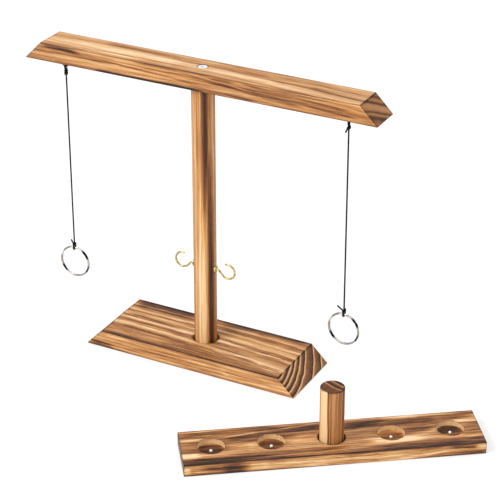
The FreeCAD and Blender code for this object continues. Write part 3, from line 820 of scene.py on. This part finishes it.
def socket_shade(graph, place, level, ragged):
    """Dark ring burnt round the post's socket, and slightly paler socket walls."""
    radius = graph.hypot(*graph.split(place)[:2])
    rim = graph.below(graph.absolute(graph.less(radius, SOCKET_RADIUS + 0.4)), 0.1, 0.8)
    inside = graph.below(radius, SOCKET_RADIUS - 0.05, SOCKET_RADIUS + 0.05)
    return graph.total(level, graph.times(rim, 0.2), graph.times(inside, -0.12))


def screw_seat(graph, place, level, ragged):
    """Dark countersink round the screw's head."""
    radius = graph.hypot(*graph.split(place)[:2])
    seat = graph.below(radius, SEAT_RADIUS - 0.3, SEAT_RADIUS + 0.3)
    return graph.total(level, graph.times(seat, 0.5))


def recess_shade(graph, place, level, ragged):
    """Recess walls painted pale as painted light, darker floors, a thin burnt rim, and painted shade
    in the gap round the peg.
    """
    along, across, up = graph.split(place)
    number = graph.math("ROUND", graph.ratio(along, PITCH))
    number = graph.math("MAXIMUM", graph.math("MINIMUM", number, 2.0), -2.0)
    from_middle = graph.less(along, graph.times(number, PITCH))
    radius = graph.hypot(from_middle, across)
    inside = graph.below(radius, RECESS_RADIUS - 0.1, RECESS_RADIUS + 0.05)
    floor = graph.times(inside, graph.below(up, RECESS_FLOOR, RECESS_FLOOR + 0.3))
    wall = graph.less(inside, floor)
    reach = graph.absolute(number)
    # darker floors, most in the two outer recesses and least next to the walls
    floor_darkening = graph.total(0.15, graph.times(graph.step(reach, 1.4, 1.6), 0.17))
    floor_darkening = graph.less(floor_darkening, graph.times(graph.step(radius, 8.5, 12.5), 0.18))
    # painted shade: the middle recess darker all over, for the gap round the peg
    painted_shade_round_peg = graph.times(inside, graph.below(reach, 0.4, 0.6))
    rim = graph.below(graph.absolute(graph.less(radius, RECESS_RADIUS)), 0.1, 0.6)
    near_top = graph.step(up, LADDER_TOP - 1.3, LADDER_TOP - 0.5)
    rim = graph.times(rim, graph.step(ragged, 0.1, 0.5), near_top)
    # painted light: the walls set to the palest wood tone, as if well lit
    painted_light_on_walls = graph.times(level, -1.0, wall)
    return graph.total(level, painted_light_on_walls, graph.times(floor, floor_darkening), graph.times(rim, 0.35),
                       graph.times(painted_shade_round_peg, 0.5))


def torched_dowel(name, centre, spec):
    """Upright dowel: stripes fixed round it, drifting with height, with burnt ends."""
    graph = Graph(name, seed=spec.seed)
    x, y, height = graph.split(graph.place(centre))
    place = graph.combine(height, x, y)
    drift = graph.noise(graph.combine(height, 0.0, 0.0), (0.012, 1, 1), 2, shift=5)
    # 0 to 1 once round, with the front at a half
    facing = radians(spec.facing_angle)
    across = graph.vector("DOT_PRODUCT", place, (0, -sin(facing), cos(facing)))
    depth = graph.vector("DOT_PRODUCT", place, (0, cos(facing), sin(facing)))
    around = graph.ratio(graph.math("ARCTAN2", across, depth), 2 * pi)
    around = graph.total(around, 0.5, graph.scaled(drift, spec.drift))
    upward = graph.ratio(height, spec.length)
    lower = graph.ramp(around, spec.stripes_low)
    upper = graph.ramp(around, spec.stripes_high)
    blend = graph.step(upward, spec.change[0], spec.change[1])
    stripes = graph.mix(blend, lower, upper)
    stripes = graph.add("SeparateColor", [stripes]).outputs[0]
    rings, waved = growth(graph, place, spec)
    rings = graph.times(rings, spec.ring_depth)
    scorch = graph.noise(place, (0.01, 0.09), 3, shift=90)
    from_end = graph.math("MINIMUM", height, graph.less(spec.length, height))
    ragged = graph.noise(place, (0.3, 0.5), 4, 0.6, shift=15)
    radius = graph.hypot(x, y)
    near_end = graph.below(graph.less(from_end, ragged), 0.0, 0.9)
    rim = graph.times(near_end, graph.step(radius, spec.radius - 1.4, spec.radius - 0.3))
    end_face = graph.below(from_end, 0.02, 0.1)
    side = graph.inverse(end_face)
    level = graph.total(
        spec.level, graph.times(graph.scaled(stripes, spec.stripe_depth), side), rings,
        graph.scaled(scorch, spec.scorch),
        graph.times(end_face, spec.end_level),
        graph.times(rings, end_face, 2.0),
        graph.times(rim, spec.end_burn))
    fineness = graph.line(end_face, -0.3, 0.65)
    return wood_surface(graph, waved, level, rings, spec.gold, fineness)


def node_centre(node):
    """Middle of a node's underside."""
    low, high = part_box(node)
    return ((low.x + high.x) / 2, (low.y + high.y) / 2, low.z)


LADDER_TURN = radians(35.5)

# Boards and dowels in millimetres: along the grain from the middle, across it, and up from
# the underside. Bands and stripes give darkness from 0 to 1 across a face or round a dowel. A
# mark is start along, start across or up, end along, end across or up, half width, strength:
# more than 0 is darker. All were set one by one.
BASE_WOOD = Spec(
    size=(230.5, 74, 18), bevelled=True, seed=11, turn=0, heart=(-41, 122), slant=0.01, bend=0.0001,
    rings=ring_record((107.5, 111.5, 114.9, 119, 124, 132.5, 140.5), 0.55, 1, 102, 150), sway=3,
    ripple=1.6, ring_depth=0.7, level=0.42, end_level=0.2, side_level=0, end_rings=0.95,
    side_rings=0.45, side_gold=0.6, gold=0.15, fineness=1.2, scorch=0.26, band_drift=5,
    long_burn=1.6, end_burn=0.8,
    top_bands=(
        (0, 0.74), (0.04, 0.6), (0.1, 0.52), (0.9, 0.5), (0.98, 0.62), (1, 0.66)),
    side_bands=(
        (0, 0.66), (0.08, 0.5), (0.9, 0.5), (1, 0.66)),
    top_marks=(
        (-96, 31, -26, 30, 8, 0.3), (-94, 35.2, 96, 35.2, 2.4, 0.2), (0, 33, 96, 33, 4, 0.16),
        (0, 20, 70, 20, 5, 0.12), (-93, 8, -48, 5, 1.2, 0.3), (-95, 4, -30, 2, 1, 0.22),
        (-85, 11, -20, 7, 1, 0.18), (13, 3, 96, -4, 1.4, 0.26), (-96, -35, -18, -36, 2.6, 0.2),
        (-35, -27, 25, -28, 10, 0.08), (60, -20, 96, -24, 8, -0.1), (20, 12, 96, 8, 5, -0.08),
        (10, -12, 96, -18, 1.2, 0.16), (-94, -3, -20, -6, 1, 0.16), (-94, -16, -30, -18, 1, 0.14),
        (30, -22, 96, -29, 1, -0.16), (24, -18.5, 96, -24.5, 1, 0.14)),
    front_marks=(
        (-113, 3.5, -84, 5, 4, 0.24), (-97, 15.5, -66, 15, 1.6, -0.16), (-60, 9, 20, 8, 1, 0.1),
        (-20, 13, 80, 12.4, 0.8, 0.1), (30, 9, 118, 8, 9, -0.12), (-110, 8, -40, 8, 8, 0.06)),
    extras=(socket_shade,),
)

BEAM_WOOD = Spec(
    size=(366.5, 34, 18), bevelled=True, seed=4, turn=0, heart=(-115.7, -295.8), slant=0.018,
    bend=0.00008,
    rings=(
        (309, 0.5), (315, 0.54), (319.5, 0.42), (322.6, 0.6), (324.4, 0.86), (326.2, 0.48),
        (327.4, 0.22), (328.4, 0.6), (329.4, 0.7), (330.4, 0.34), (333, 0.2), (335, 0.34),
        (336.2, 0.9), (337.4, 0.58), (339, 0.3), (340.4, 0.56), (342, 0.78), (343.4, 0.42),
        (346, 0.56), (350, 0.5)),
    sway=3.5, ripple=1, ring_depth=0.42, level=0.37, end_level=0.27, side_level=0.06, end_rings=0.6,
    side_rings=1.05, side_gold=0.5, gold=0, fineness=1, scorch=0.2, band_drift=3, long_burn=1,
    end_burn=1,
    top_bands=(
        (0, 0.54), (0.1, 0.5), (0.9, 0.5), (1, 0.46)),
    side_bands=(
        (0, 0.46), (0.1, 0.54), (0.75, 0.52), (0.9, 0.58), (1, 0.74)),
    top_marks=(
        (-110, 11, 0, 9.5, 4, 0.13), (-112, -8, -3, -8.5, 1.3, 0.16), (-165, -1, -20, -1, 6, -0.1),
        (-108, -11, -52, -11.5, 1, -0.1), (-165, -15.5, -118, -16, 1.8, 0.12),
        (0, 7, 66, 7, 5, 0.12), (52, 10, 168, 3, 1.5, 0.17), (70, -0.5, 168, -8.5, 1.5, 0.16),
        (4, -4, 82, -5, 3.4, -0.12), (68, -7.7, 130, -11, 1.3, -0.12), (-4, -8.6, 90, -14, 2, 0.14),
        (82, -15.3, 118, -17, 2, 0.16), (126, 11, 168, 6, 3.4, -0.12), (110, -1, 134, -4, 3, 0.1)),
    front_marks=(
        (-168, 17, -122, 14.6, 2.2, 0.4), (-178, 10.3, -92, 10.6, 0.9, 0.26),
        (-110, 14, -28, 11.2, 0.8, -0.24), (-98, 12.4, 4, 7, 1, 0.2), (-178, 6, -86, 6, 3, -0.1),
        (-105, 1, 8, 0.8, 1.5, 0.5), (-8, 16, 58, 10, 0.8, -0.22), (12, 12.5, 108, 5, 1.7, 0.26),
        (50, 16.3, 154, 10, 1.2, 0.22), (56, 11, 162, 4.5, 1.1, 0.22), (-34, 5, 64, 2, 1.2, 0.16),
        (-64, 16.8, 44, 15, 1.2, 0.2), (-90, 9, 0, 9, 9, -0.1)),
    extras=(screw_seat,),
)

LADDER_WOOD = Spec(
    size=(273.5, 55, LADDER_TOP), bevelled=False, seed=23, turn=LADDER_TURN, heart=(30, -190),
    slant=0.03, bend=0.0001,
    rings=ring_record((188, 191.2, 195, 199.4, 204, 208.5), 0.54, 1, 184, 214), sway=7, ripple=1.2,
    ring_depth=0.5, level=0.58, end_level=0.2, side_level=-0.12, end_rings=0.5, side_rings=0.8,
    side_gold=0.6, gold=0.2, fineness=1.4, scorch=0.44, band_drift=7, long_burn=1.8, end_burn=1.6,
    top_bands=(
        (0, 0.36), (0.04, 0.42), (0.1, 0.58), (0.3, 0.5), (0.66, 0.46), (0.76, 0.44), (0.84, 0.58),
        (0.96, 0.64), (1, 0.68)),
    side_bands=(
        (0, 0.66), (0.2, 0.54), (0.45, 0.46), (0.8, 0.44), (0.94, 0.52), (1, 0.66)),
    top_marks=(
        (-137, 20, -38, 22, 4.5, 0.16), (-137, -7, -66, -6, 4, 0.12),
        (-101, 12, -60, 17.5, 1, -0.27), (-66, 16.8, -6, 24.8, 1, -0.27),
        (-95, 8.5, -4, 18.5, 3.6, 0.24), (-140, 12.5, -114, 11.5, 2.2, -0.34),
        (-99, -3, -65, -2, 4.5, -0.26), (-67, 2, -33, 2, 9, 0.096),
        (-42, -2.5, -10, -3, 2.5, -0.16), (-142, -13, -120, -13, 4, -0.37),
        (-35, -12, 2, -12.5, 2.5, -0.19), (-128, -20, -60, -21, 2.2, 0.22),
        (-134, -25, -36, -25.5, 1.3, 0.22), (14, 16, 100, 15, 5, 0.27), (14, 26, 124, 23, 1, -0.19),
        (110, 12.5, 142, 10, 1.8, -0.35), (120, 0, 142, 0, 8, 0.13),
        (32, -11, 80, -11.5, 3.6, -0.37), (68, -12, 142, -13.5, 2.4, -0.22),
        (28, -20, 142, -20.5, 3.5, 0.12), (36, -24.5, 142, -25, 1.4, 0.12),
        (66, 3, 100, 1, 3, 0.16), (-60, 19, 0, 27, 1.2, 0.16), (0, -4, 70, -4, 12, -0.08),
        (-130, 4, -70, 4, 10, 0.064)),
    front_marks=(
        (-142, 6, -130, 6, 3.5, -0.32), (-122, 8, -80, 6, 4.5, 0.32), (-102, 3, -80, 3, 4, 0.32),
        (-80, 5, -60, 6.5, 4, -0.27), (-76, 3, 2, 9.5, 1.8, -0.16), (-66, 11.5, 32, 10, 1.5, 0.2),
        (8, 10.8, 108, 8, 2, 0.16), (54, 1.2, 102, 6, 1.4, -0.27), (82, 2, 140, 2.5, 2.2, 0.27),
        (102, 10, 130, 9, 2.6, 0.32), (126, 9, 142, 8.5, 2.4, -0.27), (-66, 6, 72, 6, 8, -0.13)),
    extras=(recess_shade,),
)

POST_WOOD = Spec(
    facing_angle=-62.4, radius=11.1, length=274, seed=31, heart=(60, -30), slant=0.006, bend=0,
    rings=ring_record((58, 62.5, 67, 72, 77), 0.52, 1, 54, 82), sway=3, ripple=0.8, gold=0.6,
    stripe_depth=1.12, level=0.38, end_level=0.2, end_burn=0.3, ring_depth=0.4, scorch=0.24,
    drift=0.03, change=(0.25, 0.85),
    # partly painted light: in the lower stripes the pale band just left of the front is a painted
    # highlight on golden wood, and in both the darker stripe near the left edge is painted shade;
    # the dark bands right of the front are burnt wood
    stripes_low=(
        (0, 0.6), (0.2, 0.6), (0.28, 0.74), (0.31, 0.6), (0.335, 0.46), (0.4, 0.4), (0.43, 0.28),
        (0.47, 0.16), (0.495, 0.24), (0.51, 0.46), (0.545, 0.52), (0.557, 0.74), (0.575, 0.93),
        (0.61, 0.94), (0.628, 0.76), (0.645, 0.62), (0.68, 0.64), (0.76, 0.6), (1, 0.6)),
    stripes_high=(
        (0, 0.62), (0.2, 0.6), (0.28, 0.68), (0.305, 0.5), (0.36, 0.48), (0.415, 0.56), (0.45, 0.6),
        (0.48, 0.68), (0.493, 0.88), (0.515, 1), (0.545, 0.98), (0.56, 0.86), (0.58, 0.7),
        (0.62, 0.62), (0.645, 0.46), (0.668, 0.6), (0.78, 0.58), (1, 0.62)),
)

PEG_WOOD = Spec(
    facing_angle=-65.4, radius=11.2, length=58.5, seed=47, heart=(20, 60), slant=0.01, bend=0,
    rings=ring_record((52, 57.5, 64), 0.52, 1.3, 48, 76), sway=2, ripple=1.4, gold=0.6,
    stripe_depth=1.5, level=0.38, end_level=0.44, end_burn=0.3, ring_depth=0.34, scorch=0.2,
    drift=0.01, change=(0.2, 0.8),
    # partly painted light: the pale band left of the front is pale wood with a painted highlight on
    # it; the thin dark lines beside it are burnt wood
    stripes_low=(
        (0, 0.55), (0.25, 0.6), (0.29, 0.42), (0.34, 0.22), (0.42, 0.12), (0.444, 0.28),
        (0.454, 0.9), (0.466, 0.62), (0.48, 0.56), (0.492, 0.66), (0.505, 0.54), (0.6, 0.58),
        (0.68, 0.68), (1, 0.55)),
    stripes_high=(
        (0, 0.55), (0.25, 0.6), (0.29, 0.5), (0.34, 0.3), (0.41, 0.12), (0.434, 0.28),
        (0.445, 0.94), (0.458, 0.62), (0.472, 0.56), (0.484, 0.68), (0.5, 0.55), (0.6, 0.6),
        (0.68, 0.7), (1, 0.55)),
)


# ---- metals and cord

def scratched(graph, place, scratch_scale, colour, roughness, metallic):
    """Metal finish with fine scratches in its relief and roughness."""
    scratches = graph.noise(place, scratch_scale, 3, 0.7, shift=4)
    return graph.surface(
        colour, Roughness=graph.line(scratches, 0.2, roughness), Metallic=metallic,
        Normal=graph.bump(scratches, 0.12, 0.04))


def metal(name, colour, tarnish_and_painted_shade, roughness, scale, metallic=1.0):
    """Bright metal with fine scratches and darker patches: tarnish, and on the bright brass painted
    shade.
    """
    graph = Graph(name)
    place = graph.place()
    clouds = graph.noise(place, (scale, scale, scale), 4, 0.6)
    # darker patches: tarnish on most metals, painted shade on the bright brass
    base = graph.mix(graph.step(clouds, 0.45, 0.75), colour, tarnish_and_painted_shade)
    return scratched(graph, place, (scale * 9, scale * 2, scale * 9), base, roughness, metallic)


# A ring's darkness against the angle round it, in degrees from +X up over the top. The dark
# stretches were set as a painted stand-in for what bright steel reflects in a studio.
RING_REFLECTIONS = [
    (-180, 0.55), (-160, 0.45), (-153, 0.9), (-148, 1.0), (-134, 1.0), (-127, 0.45), (-122, 0.28),
    (-108, 0.3), (-98, 0.55), (-60, 0.5), (-38, 0.55), (-33, 1.0), (-24, 0.9), (-10, 0.7),
    (-4, 0.45), (18, 0.42), (24, 0.85), (29, 1.0), (49, 1.0), (56, 0.5), (60, 0.25), (70, 0.3),
    (75, 0.6), (80, 0.25), (103, 0.2), (108, 0.55), (123, 0.62), (137, 0.66), (144, 0.36),
    (160, 0.34), (168, 0.6), (180, 0.55),
]


def ring_steel(side, centre, turn):
    """Bright spring steel with painted reflections: pale and dark stretches round the ring."""
    graph = Graph(side + "_ring_steel")
    local = graph.place(centre, turn)
    x, _, z = graph.split(local)
    round_ring = graph.ratio(graph.math("ARCTAN2", z, x), 2 * pi)
    clouds = graph.noise(local, (0.5, 0.5), 3, 0.6)
    round_ring = graph.total(round_ring, 0.5, graph.scaled(clouds, 0.02))
    stops = [((angle + 180) / 360, dark) for angle, dark in RING_REFLECTIONS]
    # painted reflection: pale and dark steel set by the angle round the ring
    painted_reflection = graph.add("SeparateColor", [graph.ramp(round_ring, stops, "LINEAR")]).outputs[0]
    colour = graph.ramp(painted_reflection, [
        (0.0, srgb(250, 248, 243)), (0.3, srgb(214, 210, 203)), (0.5, srgb(172, 167, 161)),
        (0.75, srgb(92, 86, 82)), (1.0, srgb(30, 26, 24))], "LINEAR")
    return scratched(graph, local, (3, 1, 3), colour, 0.16, 1.0)


def make_cord_material():
    """Black braided polyester with a faint grey sheen on the strands."""
    graph = Graph("black_braid")
    place = graph.place()
    fuzz = graph.noise(place, (6, 6, 3), 3, 0.7)
    colour = graph.mix(graph.step(fuzz, 0.4, 0.75), srgb(3, 3, 4), srgb(14, 14, 16))
    return graph.surface(
        colour, Roughness=0.75, Specular_IOR_Level=0.14, Sheen_Weight=0.06, Sheen_Roughness=0.4,
        Normal=graph.bump(fuzz, 0.3, 0.05))


def finish_piece(piece, body, material):
    """Material, slot and body of a new piece."""
    piece.data.materials.clear()
    piece.data.materials.append(material)
    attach(piece, body)


def dress(node, material):
    """New material in every slot of a CAD node."""
    for index in range(len(nodes[node].material_slots)):
        nodes[node].material_slots[index].material = material


# ---- tacks

TACK_HEAD = 1.6
TACK_WALL = 0.6
TACK_HEIGHT = 2.2
# the flat part of a tack, as radius and height in millimetres
TACK_FOOT = ((0.4, -3), (0.45, -0.2), (0.5, 0), (1.5, 0), (TACK_HEAD, 0.1), (TACK_HEAD, TACK_WALL))


def make_tacks():
    """Dome-headed tacks in the recess floors, one mesh each."""
    low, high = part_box("recess_tacks")
    centre = (low + high) / 2
    profile = [(radius * MM, height * MM) for radius, height in TACK_FOOT]
    for angle in range(8, 90, 8):
        turn = radians(angle)
        profile.append((TACK_HEAD * MM * cos(turn), (TACK_WALL + TACK_HEAD * sin(turn)) * MM))
    for number in range(-2, 3):
        reach = number * PITCH * MM
        place = (
            centre.x + reach * cos(LADDER_TURN),
            centre.y + reach * sin(LADDER_TURN),
            high.z - TACK_HEIGHT * MM)
        tack = lathe("recess_tack_%d" % (number + 3), profile, place, (0, 0, 1), segments=40)
        finish_piece(tack, "ladder", tack_material)
    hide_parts("recess_tacks")


# ---- floor and light

FLOOR_REACH = 30
FLOOR_DROP = 0.0002
FLOOR_GREY = 0.56
FLOOR_GLOW = 0.42


def make_floor():
    """Plain pale floor that gives off a little light, so that it stays white far away."""
    mesh = bpy.data.meshes.new("floor")
    low, high = -FLOOR_REACH, FLOOR_REACH
    corners = [(low, low, 0), (high, low, 0), (high, high, 0), (low, high, 0)]
    mesh.from_pydata(corners, [], [(0, 1, 2, 3)])
    floor = add_object("floor", mesh)
    graph = Graph("pale_floor")
    mesh.materials.append(graph.surface(
        (FLOOR_GREY, FLOOR_GREY, FLOOR_GREY, 1), Roughness=0.9,
        Emission_Color=(1, 1, 1, 1), Emission_Strength=FLOOR_GLOW))
    floor.location.z = -FLOOR_DROP


WORLD_STRENGTH = 0.95
# the studio's brightness against the direction's height: 0 is level and 1 straight up
WORLD_STOPS = ((0.02, 0.16), (0.3, 0.5), (0.75, 1.0))
# name, place, aim, size in metres, power in watts
LIGHTS = (
    ("key", (-0.9, -1.6, 1.7), (0, 0, 0.12), (0.9, 0.9), 34),
    ("fill", (1.8, -0.9, 0.9), (0.05, 0, 0.12), (1.0, 1.0), 5),
    ("top", (0.1, 0.5, 2.2), (0, 0, 0.1), (1.6, 1.6), 6),
)


def make_light(name, place, aim, size, power):
    """Soft rectangular light."""
    data = bpy.data.lights.new(name, "AREA")
    data.shape = "RECTANGLE"
    data.size, data.size_y = size
    data.energy = power
    light = add_object(name, data)
    light.location = place
    light.rotation_mode = "QUATERNION"
    light.rotation_quaternion = (Vector(aim) - Vector(place)).to_track_quat("-Z", "Y")


def make_world():
    """Soft white studio, dimmer low down so that metal has something to reflect."""
    graph = Graph("studio", bpy.data.worlds)
    height = graph.split(graph.add("TexCoord").outputs["Generated"])[2]
    background = graph.add("Background", [graph.ramp(height, WORLD_STOPS, "LINEAR"), WORLD_STRENGTH])
    graph.add("OutputWorld", [background.outputs[0]])
    bpy.context.scene.world = graph.owner
    for light in LIGHTS:
        make_light(*light)
    settings = bpy.context.scene.view_settings
    settings.view_transform = "Standard"
    settings.look = "None"


# ---- build

make_camera()
cord_material = make_cord_material()
steel_material = metal("zinc_steel", srgb(225, 226, 228), srgb(168, 170, 174), 0.22, 0.5)
screw_material = metal("bright_zinc", srgb(250, 252, 254), srgb(206, 220, 226), 0.2, 0.25, 0.45)
tack_material = metal("tack_steel", srgb(250, 246, 234), srgb(222, 212, 190), 0.3, 0.6, 0.7)
# the bright brass's dark patches are painted shade on the hook wire and collar
brass_material = metal("bright_brass", srgb(222, 196, 134), srgb(78, 58, 28), 0.18, 0.3)
insert_material = metal("plain_brass", srgb(214, 178, 104), srgb(140, 104, 50), 0.3, 0.4)
for side in OUTWARD:
    make_line(side)
    make_ring(side)
    make_hook(side)
    make_eye(side)
make_tacks()
for node, name, make_wood, spec in (
        ("base_block", "torched_base", torched_board, BASE_WOOD),
        ("crossbeam", "torched_beam", torched_board, BEAM_WOOD),
        ("ladder_board", "torched_ladder", torched_board, LADDER_WOOD),
        ("post", "torched_post", torched_dowel, POST_WOOD),
        ("marker_peg", "torched_peg", torched_dowel, PEG_WOOD)):
    dress(node, make_wood(name, node_centre(node), spec))
for end in ("top", "bottom"):
    dress(end + "_screw", screw_material)
    dress(end + "_insert", insert_material)
make_floor()
make_world()
